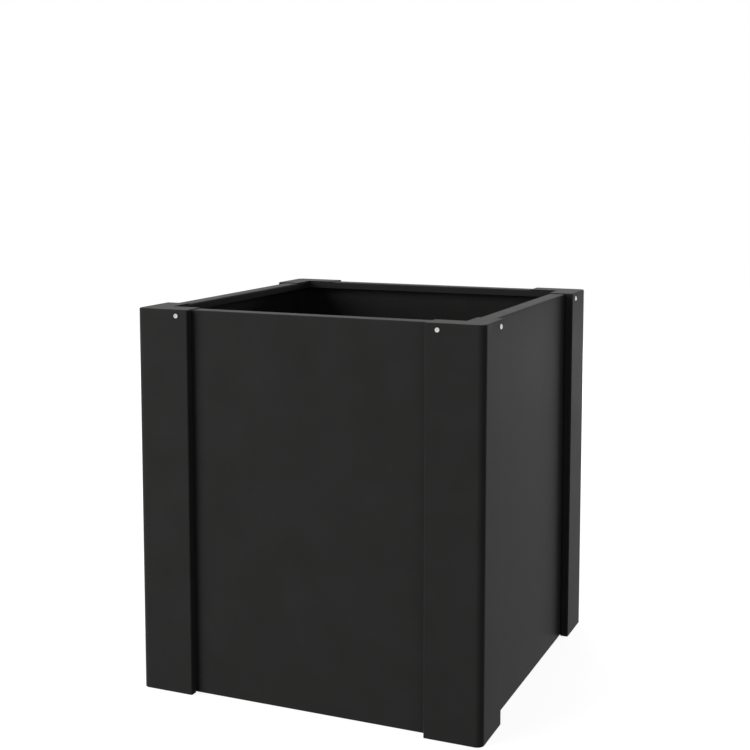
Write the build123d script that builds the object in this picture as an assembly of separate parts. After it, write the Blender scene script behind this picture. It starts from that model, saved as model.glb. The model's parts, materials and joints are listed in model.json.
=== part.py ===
from build123d import *
import os

# Square planter box of folded steel sheet: four recessed panels and four proud corner posts.
# The origin is the centre of the footprint on the ground, +Z is up and -Y is the front.

# Overall sizes, in millimetres
overall_width = 700.0  # across the corner posts, the same both ways
overall_height = 750.0  # from the ground to the top of the post caps

# Sheet and folds
sheet = 1.5  # thickness of every folded part
fold_inner = 1.5  # inside radius of a plain fold
corner_inner = 12.5  # inside radius of the wide fold down the corner of a post
cap_inner = 1.0  # inside radius where a post face turns into its cap
relief = 2.0  # notch left where two folds would meet
mitre_gap = 0.6  # opening of the mitred seams

# Corner posts
post_face = 111.0  # width of each of the two faces
post_proud = 17.0  # post face in front of the panel face
post_lip = 36.0  # flange behind the face that lies on the panel

# Panels
rim_width = 33.0  # top fold, turned inwards
rim_lip = 14.0  # free edge of the rim, turned down
foot_width = 34.0  # bottom fold, turned inwards, that the box stands on
end_flange = 36.0  # flange at each end of the front and back panels

# Floor pan and the two hat rails under it
pan_edge = 22.0  # turned-down edge of the pan, with its sheet
pan_clearance = 1.5  # between the pan and the corner flanges
drain_hole = 12.0
drain_pitch = 210.0
drain_rows = 3
rail_crown = 45.0  # flat bottom of a rail
rail_brim = 16.0  # each of the two flanges under the pan
rail_spacing = 220.0
rail_clearance = 1.0  # between the end of a rail and the fold of the pan

# Screws through the top of each post face, with spacers and nuts
post_screw = 5.0  # shank
post_screw_head = 9.5
post_screw_head_height = 2.75
post_screw_socket = 3.0  # across flats
post_screw_length = 25.0
post_screw_inset = 24.0  # from the inner edge of the post face
post_screw_drop = 12.0  # below the top
spacer_width = 10.0
post_nut = 8.0  # across flats
post_nut_height = 4.7

# Anchor bolts at the foot of each post, put in from inside the box
anchor_length = 10.0
anchor_height = 70.0  # above the ground

# Corner bolts, through a side panel and the flange of the front or back panel
corner_bolt = 6.0  # shank
corner_bolt_head = 10.5
corner_bolt_head_height = 3.3
corner_bolt_socket = 4.0  # across flats
corner_bolt_length = 12.0
corner_bolt_inset = 19.0  # from the face of the front or back panel
corner_bolt_count = 3  # up each corner
corner_bolt_margin = 110.0  # from the ground, and from the top, to the end bolts
corner_nut = 10.0  # across flats
corner_nut_height = 5.2

# Fits
hole_clearance = 0.25  # on the radius
thread_clearance = 0.05  # on the radius
shank_chamfer = 0.5

# Shape of a button head
head_edge = 0.4  # straight side under the dome
head_flat = 0.5  # share of its width that is flat, round the socket
socket_share = 0.65  # share of its height that the socket is deep

# Worked out from the sizes above
half = overall_width / 2
wall = half - post_proud  # outside face of a panel, from the centre
wall_in = wall - sheet  # inside face of a panel
panel_height = overall_height - sheet  # the post caps lap over the rims
fold_outer = fold_inner + sheet
corner_outer = corner_inner + sheet
cap_outer = cap_inner + sheet
cap_width = post_proud + rim_width  # the cap ends flush with the rim
screw_line = half - post_face + post_screw_inset
screw_height = overall_height - post_screw_drop
bolt_line = wall - corner_bolt_inset
pan_half = wall_in - sheet - pan_clearance
pan_top = sheet + pan_edge

# For building only
past = 1.0  # how far a cutting shape runs past what it cuts
near = 0.1  # how close an edge is to a line that it lies on


# Section of a folded sheet, from the line that one of its surfaces follows.
def folded(points, radii, side=Side.RIGHT):
    surface = FilletPolyline(*points, radius=radii)
    return make_face(offset(surface, sheet, side=side, closed=True))


# Box between two opposite corners.
def block(low, high):
    size = [b - a for a, b in zip(low, high)]
    return Pos(*low) * Box(*size, align=Align.MIN)


# Plane at a point, facing a level direction, with its own Y upright.
def facing(point, direction):
    return Plane(origin=point, x_dir=(-direction[1], direction[0], 0), z_dir=direction)


# Round bar from a point along a level direction.
def bar(point, direction, diameter, length):
    align = (Align.CENTER, Align.CENTER, Align.MIN)
    return facing(point, direction) * Cylinder(diameter / 2, length, align=align)


# The same shape at both ends of a panel.
def both_ends(shape):
    return shape + mirror(shape, Plane.YZ)


def bolt_heights():
    step = (overall_height - 2 * corner_bolt_margin) / (corner_bolt_count - 1)
    return [corner_bolt_margin + step * i for i in range(corner_bolt_count)]


# Wedge that takes the corner off a rim or a foot, so that two of them meet at 45 degrees.
def mitre_wedge(reach, bottom, top):
    start = wall_in - mitre_gap / 2**0.5
    depth = reach - sheet + past
    outline = Polyline(
        (start, -wall_in),
        (wall + past, -wall_in),
        (wall + past, -wall_in + depth),
        (start - depth, -wall_in + depth),
        close=True,
    )
    return Pos(0, 0, bottom) * extrude(make_face(outline), top - bottom)


# Face, rim, rim lip and foot of a panel, made as the front one.
def panel_shell(half_width):
    section = folded(
        [
            (foot_width, 0),
            (0, 0),
            (0, panel_height),
            (rim_width, panel_height),
            (rim_width, panel_height - rim_lip),
        ],
        fold_outer,
    )
    end = Plane(origin=(-half_width, -wall, 0), x_dir=(0, 1, 0), z_dir=(1, 0, 0))
    shell = extrude(end * section, 2 * half_width)
    shell -= both_ends(mitre_wedge(rim_width, panel_height - rim_lip - past, panel_height + past))
    shell -= both_ends(mitre_wedge(foot_width, -past, fold_outer))
    for height in (screw_height, anchor_height):
        start = (screw_line, -wall - past, height)
        shell -= both_ends(bar(start, (0, 1, 0), post_screw + 2 * hole_clearance, sheet + 2 * past))
    return shell


# The front and back panels turn in at their ends, inside the side panels.
def flanged_panel():
    bottom = fold_outer + 2 * relief
    top = panel_height - fold_outer - 2 * relief
    notch = block(
        (wall_in - fold_outer, -wall - past, bottom - relief),
        (wall_in + past, -wall_in + past, top + relief),
    )
    section = folded(
        [(wall_in, -wall + end_flange), (wall_in, -wall), (wall_in - 2 * fold_outer, -wall)],
        fold_outer,
    )
    flange = Pos(0, 0, bottom) * extrude(section, top - bottom)
    for height in bolt_heights():
        start = (wall_in - sheet - past, -bolt_line, height)
        flange -= bar(start, (1, 0, 0), corner_bolt + 2 * hole_clearance, sheet + 2 * past)
    return panel_shell(wall_in) - both_ends(notch) + both_ends(flange)


# The side panels run on past them, flat to the end.
def plain_panel():
    panel = panel_shell(wall)
    for height in bolt_heights():
        start = (bolt_line, -wall - past, height)
        panel -= both_ends(bar(start, (0, 1, 0), corner_bolt + 2 * hole_clearance, sheet + 2 * past))
    return panel


# Solid outline of the front left post and its cap, rounded over at the top.
def post_envelope():
    outline = FilletPolyline(
        (0, 0),
        (post_face, 0),
        (post_face, cap_width),
        (cap_width, cap_width),
        (cap_width, post_face),
        (0, post_face),
        radius=[corner_outer, fold_outer, 0, 0, 0, fold_outer],
        close=True,
    )
    solid = extrude(make_face(outline), overall_height)
    upper = solid.edges().group_by(Axis.Z)[-1]
    outer = [e for e in upper if not on_line(e, cap_width)]
    return Pos(-half, -half, 0) * fillet(outer, cap_outer)


# Whether a straight edge runs along one of the two lines at this distance from the axes.
def on_line(edge, distance):
    low, high = edge.bounding_box().min, edge.bounding_box().max
    along_x = abs(low.Y - distance) + abs(high.Y - distance)
    along_y = abs(low.X - distance) + abs(high.X - distance)
    return min(along_x, along_y) < near


# Cap of the front left post, turned in from both faces and dressed smooth at the corner.
def post_cap():
    far, inner = post_face + past, cap_width + past
    outline = FilletPolyline(
        (sheet, sheet),
        (far, sheet),
        (far, inner),
        (inner, inner),
        (inner, far),
        (sheet, far),
        radius=[corner_inner, 0, 0, 0, 0, 0],
        close=True,
    )
    core = extrude(make_face(outline), panel_height)
    bend = sheet + corner_inner
    upper = core.edges().group_by(Axis.Z)[-1]
    outer = [e for e in upper if min(e.center().X, e.center().Y) < bend]
    hollow = Pos(-half, -half, 0) * fillet(outer, cap_inner)
    below = block((-half - past, -half - past, -past), (0, 0, overall_height - cap_outer))
    return post_envelope() - hollow - below


# A post is one strip, folded into two faces with a return and a lip behind each.
def corner_post():
    side = -half + post_face
    lip_end = side - post_lip
    section = folded(
        [
            (lip_end, -wall),
            (side, -wall),
            (side, -half),
            (-half, -half),
            (-half, side),
            (-wall, side),
            (-wall, lip_end),
        ],
        [fold_outer, fold_outer, corner_outer, fold_outer, fold_outer],
    )
    post = (extrude(section, panel_height) & post_envelope()) + post_cap()
    hole = post_screw + 2 * hole_clearance
    for outward in ((0, -1), (-1, 0)):
        screw = face_point(outward, half + past, screw_height)
        anchor = face_point(outward, wall + sheet + past, anchor_height)
        inward = (-outward[0], -outward[1], 0)
        post -= bar(screw, inward, hole, post_proud + 2 * past)
        post -= bar(anchor, inward, hole, sheet + 2 * past)
    return post


# Point over the front left post's screws, on the face that looks outward.
def face_point(outward, distance, height):
    if outward[0]:
        return (outward[0] * distance, -screw_line, height)
    return (-screw_line, outward[1] * distance, height)


# Sheet pan with four turned-down edges, notched at the corners, and its drain holes.
def floor_pan():
    section = folded(
        [(-pan_half, sheet), (-pan_half, pan_top), (pan_half, pan_top), (pan_half, sheet)],
        fold_outer,
    )
    strip = extrude(Plane.XZ * section, pan_half - fold_outer - relief, both=True)
    pan = strip + Rot(0, 0, 90) * strip
    drains = GridLocations(drain_pitch, drain_pitch, drain_rows, drain_rows)
    hole = Pos(0, 0, pan_top) * Cylinder(drain_hole / 2, 2 * (sheet + past))
    return pan - [place * hole for place in drains]


# Hat section that rests on the feet of the front and back panels and carries the pan.
def floor_rail():
    brim_height = pan_top - 2 * sheet
    web, brim = rail_crown / 2, rail_crown / 2 + rail_brim
    section = folded(
        [
            (-brim, brim_height),
            (-web, brim_height),
            (-web, sheet),
            (web, sheet),
            (web, brim_height),
            (brim, brim_height),
        ],
        [fold_inner, fold_outer, fold_outer, fold_inner],
        side=Side.LEFT,
    )
    return extrude(Plane.XZ * section, pan_half - fold_outer - rail_clearance, both=True)


# Button head screw: the head lies below the origin and the shank runs up from it.
def button_screw(diameter, head, head_height, socket, length):
    rim = (head / 2, -head_edge)
    crown = (head_flat * head / 2, -head_height)
    outline = Polyline(crown, (0, -head_height), (0, 0), (head / 2, 0), rim)
    outline += RadiusArc(rim, crown, head / 2)
    screw = revolve(Plane.XZ * make_face(outline), Axis.Z)
    recess = extrude(RegularPolygon(socket / 2, 6, major_radius=False), head_height * socket_share)
    screw -= Pos(0, 0, -head_height) * recess
    shank = Cylinder(diameter / 2, length, align=(Align.CENTER, Align.CENTER, Align.MIN))
    return screw + chamfer(shank.edges().group_by(Axis.Z)[-1], shank_chamfer)


def hex_nut(width, diameter, height):
    section = RegularPolygon(width / 2, 6, major_radius=False) - Circle(diameter / 2 + thread_clearance)
    return extrude(section, height)


def spacer():
    section = Circle(spacer_width / 2) - Circle(post_screw / 2 + hole_clearance)
    return extrude(section, post_proud - 2 * sheet)


# What fixes the front left post, by name: each of its two faces gets one of each.
def post_fixings():
    screw = button_screw(
        post_screw, post_screw_head, post_screw_head_height, post_screw_socket, post_screw_length
    )
    anchor = button_screw(
        post_screw, post_screw_head, post_screw_head_height, post_screw_socket, anchor_length
    )
    nut = hex_nut(post_nut, post_screw, post_nut_height)
    sleeve = spacer()
    names = ["post_screws", "post_spacers", "post_nuts", "anchor_bolts", "anchor_nuts"]
    fixings = {name: [] for name in names}
    for outward in ((0, -1), (-1, 0)):
        out = (outward[0], outward[1], 0)
        into = (-outward[0], -outward[1], 0)
        places = {
            "post_screws": (half, screw_height, into, screw),
            "post_spacers": (half - sheet, screw_height, into, sleeve),
            "post_nuts": (wall_in, screw_height, into, nut),
            "anchor_bolts": (wall_in, anchor_height, out, anchor),
            "anchor_nuts": (wall + sheet, anchor_height, out, nut),
        }
        for name, (distance, height, direction, shape) in places.items():
            fixings[name].append(facing(face_point(outward, distance, height), direction) * shape)
    return fixings


# Bolts and nuts up one corner of the box, on the side given by the signs of x and y.
def corner_fixings(x_side, y_side):
    bolt = button_screw(
        corner_bolt, corner_bolt_head, corner_bolt_head_height, corner_bolt_socket, corner_bolt_length
    )
    nut = hex_nut(corner_nut, corner_bolt, corner_nut_height)
    into = (-x_side, 0, 0)
    bolts, nuts = [], []
    for height in bolt_heights():
        bolts.append(facing((x_side * wall, y_side * bolt_line, height), into) * bolt)
        nuts.append(facing((x_side * (wall_in - sheet), y_side * bolt_line, height), into) * nut)
    return {"corner_bolts": bolts, "corner_nuts": nuts}


def write(node, shapes):
    export_step(Compound(children=shapes) if len(shapes) > 1 else shapes[0], f"parts/{node}.step")


def main():
    os.makedirs("parts", exist_ok=True)
    flanged, plain = flanged_panel(), plain_panel()
    write("panel_front", [flanged])
    write("panel_back", [Rot(0, 0, 180) * flanged])
    write("panel_left", [Rot(0, 0, -90) * plain])
    write("panel_right", [Rot(0, 0, 90) * plain])

    post, fixings = corner_post(), post_fixings()
    for corner, turn in {"front_left": 0, "front_right": 90, "back_right": 180, "back_left": 270}.items():
        write(f"post_{corner}", [Rot(0, 0, turn) * post])
        for name, shapes in fixings.items():
            write(f"{name}_{corner}", [Rot(0, 0, turn) * shape for shape in shapes])

    for y_name, y_side in {"front": -1, "back": 1}.items():
        for x_name, x_side in {"left": -1, "right": 1}.items():
            for name, shapes in corner_fixings(x_side, y_side).items():
                write(f"{name}_{y_name}_{x_name}", shapes)

    write("floor_pan", [floor_pan()])
    rail = floor_rail()
    write("floor_rail_left", [Pos(-rail_spacing / 2, 0, 0) * rail])
    write("floor_rail_right", [Pos(rail_spacing / 2, 0, 0) * rail])


main()
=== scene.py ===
import bpy
import json
import math
from mathutils import Matrix, Vector

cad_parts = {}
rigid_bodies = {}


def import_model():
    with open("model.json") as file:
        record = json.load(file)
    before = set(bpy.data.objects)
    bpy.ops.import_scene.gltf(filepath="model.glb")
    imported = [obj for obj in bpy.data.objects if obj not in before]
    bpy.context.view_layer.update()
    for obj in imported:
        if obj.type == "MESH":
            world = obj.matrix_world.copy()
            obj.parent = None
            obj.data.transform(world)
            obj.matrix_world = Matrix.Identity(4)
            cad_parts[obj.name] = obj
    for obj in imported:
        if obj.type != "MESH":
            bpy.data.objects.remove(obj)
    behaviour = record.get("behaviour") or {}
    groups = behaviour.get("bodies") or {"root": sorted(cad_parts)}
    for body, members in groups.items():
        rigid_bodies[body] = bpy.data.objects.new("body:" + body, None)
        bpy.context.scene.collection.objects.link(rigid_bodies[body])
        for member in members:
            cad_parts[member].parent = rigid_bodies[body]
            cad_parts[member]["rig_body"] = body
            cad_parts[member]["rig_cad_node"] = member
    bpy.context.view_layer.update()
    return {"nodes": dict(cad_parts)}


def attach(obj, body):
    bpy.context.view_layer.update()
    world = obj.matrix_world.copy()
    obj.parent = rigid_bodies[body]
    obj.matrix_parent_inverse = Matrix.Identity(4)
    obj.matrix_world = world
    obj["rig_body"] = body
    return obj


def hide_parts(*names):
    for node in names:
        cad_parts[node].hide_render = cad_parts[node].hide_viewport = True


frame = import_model()
print("frame loaded:", len(frame["nodes"]), "nodes")

# Sizes are in metres where nothing else is said.
# The way to each corner from the middle of the box, across and deep
corners = {
    "front_left": (-1, -1),
    "front_right": (1, -1),
    "back_left": (-1, 1),
    "back_right": (1, 1),
}


# sRGB hex to linear, for every colour below
def linear(hexColour):
    channels = [int(hexColour[i:i + 2], 16) / 255 for i in (1, 3, 5)]
    return [c / 12.92 if c <= 0.04045 else ((c + 0.055) / 1.055) ** 2.4 for c in channels] + [1]


# Adds one node, with its settings and what is linked into it
def addNode(tree, kind, settings={}, links={}):
    node = tree.nodes.new(kind)
    for name, value in settings.items():
        if isinstance(name, int) or name in node.inputs:
            node.inputs[name].default_value = value
        else:
            setattr(node, name, value)
    for name, source in links.items():
        tree.links.new(source, node.inputs[name])
    return node


def newTree(owner):
    owner.use_nodes = True
    owner.node_tree.nodes.clear()
    return owner.node_tree


# Soft clouds that shift the colour and the polish of a surface together
def addClouds(tree, look, spot):
    cloud = addNode(
        tree,
        "ShaderNodeTexNoise",
        {"Scale": 1 / look["cloud"], "Detail": look["cloudDetail"]},
        {"Vector": spot},
    )
    colour = addNode(
        tree,
        "ShaderNodeMix",
        {"data_type": "RGBA", 6: linear(look["dark"]), 7: linear(look["light"])},
        {0: cloud.outputs["Fac"]},
    )
    polish = addNode(
        tree,
        "ShaderNodeMapRange",
        {"To Min": look["smooth"], "To Max": look["rough"]},
        {"Value": cloud.outputs["Fac"]},
    )
    return {"Base Color": colour.outputs[2], "Roughness": polish.outputs["Result"]}


# Polyester powder coat on steel sheet, sprayed dry and baked: an even soft black. Close up
# it has the faint waves of orange peel, a fine tooth, and a little mottling where the film
# is thicker.
powderCoat = {
    "light": "#343434",
    "dark": "#2c2c2b",
    "cloud": 0.07,  # across one lighter or darker patch
    "cloudDetail": 4.0,
    "smooth": 0.34,
    "rough": 0.42,
    "specular": 0.013,  # fine tooth and carbon black leave little gloss, only at a low angle
    "peel": 0.0018,  # real orange peel is 1 to 3 mm from wave to wave
    "peelDetail": 1.0,
    "peelDepth": 0.00005,
    "tooth": 0.0004,
    "toothDetail": 2.0,
    "toothDepth": 0.00001,
}


# The shift gives each kind of sheet its own part of the pattern
def satinPowderCoat(name, shift):
    material = bpy.data.materials.new(name)
    tree = newTree(material)
    place = addNode(tree, "ShaderNodeTexCoord").outputs["Object"]
    moved = addNode(
        tree, "ShaderNodeMapping", {"Location": (shift, shift, shift)}, {"Vector": place}
    )
    spot = moved.outputs["Vector"]
    links = addClouds(tree, powderCoat, spot)
    for layer in ("peel", "tooth"):
        noise = addNode(
            tree,
            "ShaderNodeTexNoise",
            {"Scale": 1 / powderCoat[layer], "Detail": powderCoat[layer + "Detail"]},
            {"Vector": spot},
        )
        below = {"Normal": links["Normal"]} if "Normal" in links else {}
        bump = addNode(
            tree,
            "ShaderNodeBump",
            {"Strength": 1.0, "Distance": powderCoat[layer + "Depth"]},
            {"Height": noise.outputs["Fac"], **below},
        )
        links["Normal"] = bump.outputs["Normal"]
    shader = addNode(
        tree, "ShaderNodeBsdfPrincipled", {"Specular IOR Level": powderCoat["specular"]}, links
    )
    addNode(tree, "ShaderNodeOutputMaterial", {}, {"Surface": shader.outputs["BSDF"]})
    return material


# A2 stainless steel, cold headed and rolled: bright grey, with a soft uneven polish
stainless = {
    "light": "#dcdbd8",
    "dark": "#bdbcb9",
    "cloud": 0.0016,  # across one patch of polish
    "cloudDetail": 3.0,
    "smooth": 0.2,
    "rough": 0.38,
}
# Zinc plate on steel tube: duller and bluer, with clouds of passivation
zincPlate = {
    "light": "#c3c8ce",
    "dark": "#9a9fa8",
    "cloud": 0.004,
    "cloudDetail": 3.0,
    "smooth": 0.3,
    "rough": 0.5,
}


def fixingMetal(name, look):
    material = bpy.data.materials.new(name)
    tree = newTree(material)
    place = addNode(tree, "ShaderNodeTexCoord").outputs["Object"]
    shader = addNode(
        tree, "ShaderNodeBsdfPrincipled", {"Metallic": 1.0}, addClouds(tree, look, place)
    )
    addNode(tree, "ShaderNodeOutputMaterial", {}, {"Surface": shader.outputs["BSDF"]})
    return material


finishes = {
    "post_steel": satinPowderCoat("postPowderCoat", shift=0.0),
    "panel_steel": satinPowderCoat("panelPowderCoat", shift=3.1),
    "floor_steel": satinPowderCoat("floorPowderCoat", shift=7.4),
    "stainless_steel": fixingMetal("coldHeadedStainless", stainless),
    "spacer_zinc": fixingMetal("zincPlatedTube", zincPlate),
}
print("finishes made")


def setFinish(piece, slot):
    piece.data.materials.clear()
    piece.data.materials.append(finishes[slot])


def pickOnly(*objs):
    bpy.ops.object.select_all(action="DESELECT")
    for obj in objs:
        obj.select_set(True)
    bpy.context.view_layer.objects.active = objs[0]


def copyOf(obj):
    pickOnly(obj)
    bpy.ops.object.duplicate()
    return bpy.context.active_object


def applyAll(obj):
    pickOnly(obj)
    for modifier in list(obj.modifiers):
        bpy.ops.object.modifier_apply(modifier=modifier.name)


# Selects, in edit mode, the flat ends that face up (way 1) or down (way -1)
def pickEnd(obj, way):
    upright = 0.9  # above this, a normal's upward share marks an end and not a side
    bpy.ops.mesh.select_mode(type="FACE")
    bpy.ops.mesh.select_all(action="DESELECT")
    bpy.ops.object.mode_set(mode="OBJECT")
    for face in obj.data.polygons:
        face.select = face.normal.z * way > upright
    bpy.ops.object.mode_set(mode="EDIT")


def startCylinder(name, sides, radius, low, high):
    bpy.ops.object.select_all(action="DESELECT")
    bpy.ops.mesh.primitive_cylinder_add(
        vertices=sides, radius=radius, depth=high - low, location=(0, 0, (low + high) / 2)
    )
    piece = bpy.context.active_object
    piece.name = name
    bpy.ops.object.transform_apply()
    return piece


# Cuts one piece with another, keeps only what they share, or welds them, and removes the other
def cut(piece, other, operation):
    gap = 0.000001  # under which two points that the cut leaves are one
    cutting = piece.modifiers.new("cut", "BOOLEAN")
    cutting.operation = operation
    cutting.object = other
    applyAll(piece)
    bpy.data.objects.remove(other)
    bpy.ops.object.mode_set(mode="EDIT")
    bpy.ops.mesh.select_all(action="SELECT")
    bpy.ops.mesh.remove_doubles(threshold=gap)
    bpy.ops.mesh.dissolve_degenerate(threshold=gap)
    bpy.ops.object.mode_set(mode="OBJECT")


# Coated sheet steel. Each part is its CAD solid, with the cut edges rounded by the coat and
# the bends smooth.
coatedSheet = {
    "weld": 0.000002,  # under which two points are one
    "flat": 0.2,  # degrees, below which two faces are one
    "edge": 0.00035,  # radius that the coat leaves on a cut edge
    "edgeSteps": 3,
    "sharp": 40,  # degrees, above which an edge is a cut edge
    "parts": {
        "post_steel": ["post_" + corner for corner in corners],
        "panel_steel": ["panel_front", "panel_back", "panel_left", "panel_right"],
        "floor_steel": ["floor_pan", "floor_rail_left", "floor_rail_right"],
    },
}


def makeCoatedSheet(node, slot):
    sharp = math.radians(coatedSheet["sharp"])
    piece = copyOf(frame["nodes"][node])
    piece.name = node + "_coated"
    for key in ("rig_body", "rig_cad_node"):  # the copy is no CAD node
        del piece[key]
    bpy.ops.mesh.customdata_custom_splitnormals_clear()
    bpy.ops.object.mode_set(mode="EDIT")
    bpy.ops.mesh.select_all(action="SELECT")
    bpy.ops.mesh.remove_doubles(threshold=coatedSheet["weld"])
    bpy.ops.mesh.dissolve_limited(angle_limit=math.radians(coatedSheet["flat"]))
    bpy.ops.object.mode_set(mode="OBJECT")
    edge = piece.modifiers.new("edge", "BEVEL")
    edge.width = coatedSheet["edge"]
    edge.segments = coatedSheet["edgeSteps"]
    edge.limit_method = "ANGLE"
    edge.angle_limit = sharp
    applyAll(piece)
    bpy.ops.object.shade_smooth_by_angle(angle=sharp)
    flats = piece.modifiers.new("flats", "WEIGHTED_NORMAL")
    flats.keep_sharp = True
    applyAll(piece)
    setFinish(piece, slot)
    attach(piece, "root")
    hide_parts(node)
    return piece


for slot, nodes in coatedSheet["parts"].items():
    for node in nodes:
        made = makeCoatedSheet(node, slot)
        print("coated", node, len(made.data.polygons), "faces")

for corner in corners:
    setFinish(frame["nodes"]["post_spacers_" + corner], "spacer_zinc")
print("spacers finished")


hexagon = 6  # sides of the sockets and the nuts

# Button-head socket screws. The head is a dome round a hexagon socket, over a rolled thread.
screwSizes = {
    "M5": {"shank": 0.005, "pitch": 0.0008, "head": 0.0095, "height": 0.00275, "socket": 0.003},
    "M6": {"shank": 0.006, "pitch": 0.001, "head": 0.0105, "height": 0.0033, "socket": 0.004},
}
screwShape = {
    "sides": 48,
    "edge": 0.0004,  # the straight rim under the dome
    "flat": 0.5,  # share of the head's width that is flat, round the socket
    "domeSteps": 7,
    "socketDepth": 0.65,  # share of the head's height
    "threadSides": 20,
    "threadDepth": 0.61,  # share of the pitch
    "ridge": 0.52,  # radius of the thread's triangle, as a share of the pitch
    "tip": 0.0005,
    "sharp": 30,  # degrees
}


# The thread's ridge is a triangle, stood up with a point outwards and turned up the shank
def makeThread(size, low, high):
    triangle = 3
    radius = size["pitch"] * screwShape["ridge"]
    bpy.ops.object.select_all(action="DESELECT")
    bpy.ops.mesh.primitive_circle_add(
        vertices=triangle,
        radius=radius,
        location=(size["shank"] / 2 - radius, 0, low + radius),
        rotation=Matrix(((0, 1, 0), (0, 0, 1), (1, 0, 0))).to_euler(),
    )
    ridge = bpy.context.active_object
    bpy.ops.object.transform_apply()
    turns = ridge.modifiers.new("turns", "SCREW")
    turns.screw_offset = size["pitch"]
    turns.iterations = int((high - low - 2 * radius) / size["pitch"])
    turns.steps = turns.render_steps = screwShape["threadSides"]
    applyAll(ridge)
    bpy.ops.object.mode_set(mode="EDIT")
    bpy.ops.mesh.select_all(action="SELECT")
    bpy.ops.mesh.fill_holes(sides=triangle)
    bpy.ops.mesh.select_all(action="SELECT")
    bpy.ops.mesh.normals_make_consistent(inside=False)
    bpy.ops.object.mode_set(mode="OBJECT")
    return ridge


def makeDome(name, size):
    rim = size["head"] / 2
    edge = screwShape["edge"]
    flat = rim * screwShape["flat"]
    head = startCylinder(name, screwShape["sides"], rim, 0, edge)
    bpy.ops.object.mode_set(mode="EDIT")
    pickEnd(head, 1)
    wide, low = rim, edge
    for step in range(1, screwShape["domeSteps"] + 1):
        turn = math.pi / 2 * step / screwShape["domeSteps"]
        across = flat + (rim - flat) * math.cos(turn)
        up = edge + (size["height"] - edge) * math.sin(turn)
        bpy.ops.mesh.extrude_region_move(TRANSFORM_OT_translate={"value": (0, 0, up - low)})
        bpy.ops.transform.resize(
            value=(across / wide, across / wide, 1), center_override=(0, 0, up)
        )
        wide, low = across, up
    bpy.ops.object.mode_set(mode="OBJECT")
    return head


# The screw points down, with the underside of its head at height 0
def makeButtonScrew(name, size, length):
    head = makeDome(name, size)
    bottom = size["height"] - size["height"] * screwShape["socketDepth"]
    clear = size["height"] * 2  # well above the dome
    key = startCylinder("key", hexagon, size["socket"] / math.sqrt(3), bottom, clear)
    cut(head, key, "DIFFERENCE")
    root = size["shank"] / 2 - size["pitch"] * screwShape["threadDepth"]
    core = startCylinder("core", screwShape["threadSides"], root, -length, 0)
    bpy.ops.object.mode_set(mode="EDIT")
    pickEnd(core, -1)
    bpy.ops.mesh.bevel(offset=screwShape["tip"], segments=1)
    bpy.ops.object.mode_set(mode="OBJECT")
    thread = makeThread(size, -length + screwShape["tip"] / 2, 0)
    cut(core, thread, "UNION")
    cut(head, core, "UNION")
    bpy.ops.object.shade_smooth_by_angle(angle=math.radians(screwShape["sharp"]))
    return head


# Hexagon nuts, with their corners turned off above and below, and a countersunk bore
nutSizes = {
    "M5": {"bore": 0.0051, "flats": 0.008, "height": 0.0047},
    "M6": {"bore": 0.0061, "flats": 0.01, "height": 0.0052},
}
nutShape = {
    "chamfer": 30,  # degrees, of the turned corners
    "face": 0.95,  # width of the turned face, as a share of the width across flats
    "past": 1.001,  # radius of the turned blank, as a share of that of the corners
    "sink": 0.00035,  # depth of the countersink
    "sides": 48,
    "sharp": 30,  # degrees
}


# Draws both ends of a cylinder out, and makes them wider or narrower there
def drawEnds(piece, out, wide):
    bpy.ops.object.mode_set(mode="EDIT")
    for way in (1, -1):
        pickEnd(piece, way)
        bpy.ops.mesh.extrude_region_move(TRANSFORM_OT_translate={"value": (0, 0, way * out)})
        bpy.ops.transform.resize(value=(wide, wide, 1))
    bpy.ops.object.mode_set(mode="OBJECT")


# The nut stands on height 0
def makeHexNut(name, size):
    corner = size["flats"] / math.sqrt(3)
    face = size["flats"] / 2 * nutShape["face"]
    drop = (corner - face) * math.tan(math.radians(nutShape["chamfer"]))
    nut = startCylinder(name, hexagon, corner, 0, size["height"])
    turned = startCylinder(
        "turned", nutShape["sides"], corner * nutShape["past"], drop, size["height"] - drop
    )
    drawEnds(turned, drop, face / corner)
    cut(nut, turned, "INTERSECT")
    sink = nutShape["sink"]
    bore = startCylinder(
        "bore", nutShape["sides"], size["bore"] / 2, sink, size["height"] - sink
    )
    flare = sink * 2  # at 45 degrees, as far out of the nut as into it
    drawEnds(bore, flare, 1 + flare * 2 / size["bore"])
    cut(nut, bore, "DIFFERENCE")
    pickOnly(nut)
    bpy.ops.object.shade_smooth_by_angle(angle=math.radians(nutShape["sharp"]))
    return nut


# Where each fixing goes. "along" is its distance from the middle of a side, "face" is how
# far out its seat is, "out" is 1 where it points out and -1 where it points in, and "sides"
# are the faces of the corner that have one.
postFixing = {"along": 0.263, "sides": "xy"}
sideFixing = {"along": 0.314, "sides": "x", "heights": [0.11, 0.375, 0.64]}
fixings = {
    "post_screws": {**postFixing, "heights": [0.738], "face": 0.35, "out": 1},
    "post_nuts": {**postFixing, "heights": [0.738], "face": 0.3315, "out": -1},
    "anchor_bolts": {**postFixing, "heights": [0.07], "face": 0.3315, "out": -1},
    "anchor_nuts": {**postFixing, "heights": [0.07], "face": 0.3345, "out": 1},
    "corner_bolts": {**sideFixing, "face": 0.333, "out": 1},
    "corner_nuts": {**sideFixing, "face": 0.33, "out": -1},
}
patterns = {
    "post_screws": makeButtonScrew("postScrew", screwSizes["M5"], length=0.025),
    "post_nuts": makeHexNut("postNut", nutSizes["M5"]),
    "anchor_bolts": makeButtonScrew("anchorBolt", screwSizes["M5"], length=0.01),
    "anchor_nuts": makeHexNut("anchorNut", nutSizes["M5"]),
    "corner_bolts": makeButtonScrew("cornerBolt", screwSizes["M6"], length=0.012),
    "corner_nuts": makeHexNut("cornerNut", nutSizes["M6"]),
}


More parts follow.
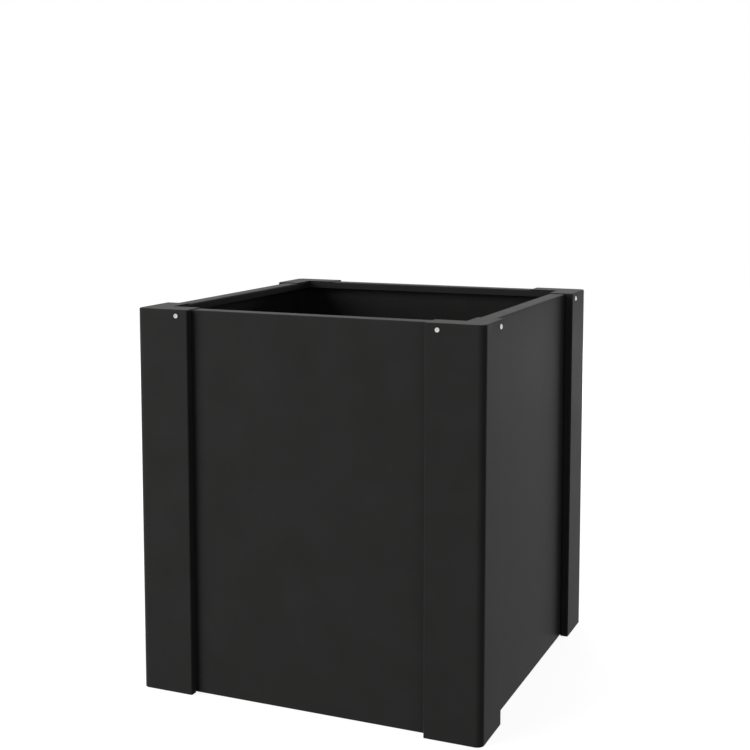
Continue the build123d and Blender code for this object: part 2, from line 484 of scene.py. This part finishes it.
# Copies one kind of fixing to its places at a corner, as one piece
def placeFixings(kind, corner):
    row = fixings[kind]
    across, deep = corners[corner]
    copies = []
    for side in row["sides"]:
        for height in row["heights"]:
            copy = copyOf(patterns[kind])
            if side == "x":
                seat = Vector((across * row["face"], deep * row["along"], height))
                facing = Vector((across * row["out"], 0, 0))
            else:
                seat = Vector((across * row["along"], deep * row["face"], height))
                facing = Vector((0, deep * row["out"], 0))
            turn = facing.to_track_quat("Z", "X").to_matrix().to_4x4()
            copy.matrix_world = Matrix.Translation(seat) @ turn
            copies.append(copy)
    pickOnly(*copies)
    bpy.ops.object.transform_apply()
    bpy.ops.object.join()
    piece = copies[0]
    piece.name = kind + "_" + corner + "_cut"
    setFinish(piece, "stainless_steel")
    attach(piece, "root")
    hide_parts(kind + "_" + corner)


for kind, pattern in patterns.items():
    for corner in corners:
        placeFixings(kind, corner)
    bpy.data.objects.remove(pattern)
    print("placed", kind)


# Camera, at the photographed angle, with the shift that keeps the posts nearly upright
camera = {
    "place": (1.032635, -2.427452, 1.022136),
    "yaw": 0.403392,  # radians
    "pitch": 0.09674,  # radians, downwards
    "focal": 1289.61,  # pixels
    "shift": -85,  # pixels
    "frame": 750,  # pixels across the picture
    "sensor": 36,  # millimetres across the sensor
    "reach": 100,  # nothing past this is drawn
}


def addCamera():
    data = bpy.data.cameras.new("camera")
    data.lens = camera["focal"] * camera["sensor"] / camera["frame"]
    data.sensor_width = camera["sensor"]
    data.shift_y = camera["shift"] / camera["frame"]
    data.clip_end = camera["reach"]
    cam = bpy.data.objects.new("camera", data)
    bpy.context.scene.collection.objects.link(cam)
    yaw = Matrix.Rotation(camera["yaw"], 4, "Z")
    pitch = Matrix.Rotation(math.pi / 2 - camera["pitch"], 4, "X")
    cam.matrix_world = Matrix.Translation(camera["place"]) @ (yaw @ pitch)
    bpy.context.scene.camera = cam


# Soft boxes: a wide one from the front left, a weak one from the front right, one that
# grazes the right side from behind, one from the back left for the far sides, and one
# overhead
lamps = {
    "key": {"from": (-2.9, -3.6, 1.5), "size": 3.8, "power": 195},
    "fill": {"from": (3.2, -3.0, 1.4), "size": 3.0, "power": 27},
    "side": {"from": (1.9, 5.2, 0.9), "size": 2.2, "power": 250},
    "back": {"from": (-1.5, 4.2, 1.4), "size": 3.0, "power": 95},
    "top": {"from": (-0.6, 0.1, 3.9), "size": 3.2, "power": 62},
}
lampAim = Vector((0, 0, 0.38))  # about the middle of the box


def addLamp(name, lamp):
    data = bpy.data.lights.new(name, "AREA")
    data.shape = "DISK"
    data.size = lamp["size"]
    data.energy = lamp["power"]
    obj = bpy.data.objects.new(name, data)
    bpy.context.scene.collection.objects.link(obj)
    obj.location = lamp["from"]
    obj.rotation_euler = (lampAim - obj.location).to_track_quat("-Z", "Y").to_euler()
    obj.visible_camera = False
    obj.visible_glossy = False


# The backdrop is white to the eye and in reflections, and no other light comes from it. The
# floor glows a little less near the box, so the box's shadow stays on it.
studio = {
    "backdrop": "#ffffff",
    "floor": "#8c8c8c",
    "drop": 0.0005,  # the floor is this far under the feet, so that the two don't flicker
    "size": 30,
    "near": 0.7,  # from the middle, up to which the glow is weaker
    "far": 1.6,  # from the middle, where it is full again
    "glowNear": 0.9,
    "glowFar": 1.0,
}


# 1 for what is seen directly, in a reflection or through glass, 0 for any other light
def seenDirectly(tree):
    path = addNode(tree, "ShaderNodeLightPath")
    seen = path.outputs["Is Camera Ray"]
    for ray in ("Is Glossy Ray", "Is Transmission Ray"):
        either = addNode(
            tree, "ShaderNodeMath", {"operation": "MAXIMUM"}, {0: seen, 1: path.outputs[ray]}
        )
        seen = either.outputs[0]
    return seen


def addBackdrop():
    world = bpy.data.worlds.new("studio")
    bpy.context.scene.world = world
    tree = newTree(world)
    back = addNode(
        tree,
        "ShaderNodeBackground",
        {"Color": linear(studio["backdrop"])},
        {"Strength": seenDirectly(tree)},
    )
    addNode(tree, "ShaderNodeOutputWorld", {}, {"Surface": back.outputs[0]})


def addFloor():
    bpy.ops.mesh.primitive_plane_add(size=studio["size"], location=(0, 0, -studio["drop"]))
    floor = bpy.context.active_object
    floor.name = "floor"
    material = bpy.data.materials.new("paleFloor")
    tree = newTree(material)
    paint = addNode(tree, "ShaderNodeBsdfDiffuse", {"Color": linear(studio["floor"])})
    place = addNode(tree, "ShaderNodeTexCoord").outputs["Object"]
    away = addNode(tree, "ShaderNodeVectorMath", {"operation": "LENGTH"}, {0: place})
    level = addNode(
        tree,
        "ShaderNodeMapRange",
        {
            "From Min": studio["near"],
            "From Max": studio["far"],
            "To Min": studio["glowNear"],
            "To Max": studio["glowFar"],
        },
        {"Value": away.outputs["Value"]},
    )
    strength = addNode(
        tree,
        "ShaderNodeMath",
        {"operation": "MULTIPLY"},
        {0: seenDirectly(tree), 1: level.outputs["Result"]},
    )
    glow = addNode(tree, "ShaderNodeEmission", {}, {"Strength": strength.outputs[0]})
    both = addNode(tree, "ShaderNodeAddShader", {}, {0: paint.outputs[0], 1: glow.outputs[0]})
    addNode(tree, "ShaderNodeOutputMaterial", {}, {"Surface": both.outputs[0]})
    floor.data.materials.append(material)


addCamera()
for name, lamp in lamps.items():
    addLamp(name, lamp)
addBackdrop()
addFloor()
bpy.context.scene.view_settings.view_transform = "Standard"
print("studio set")
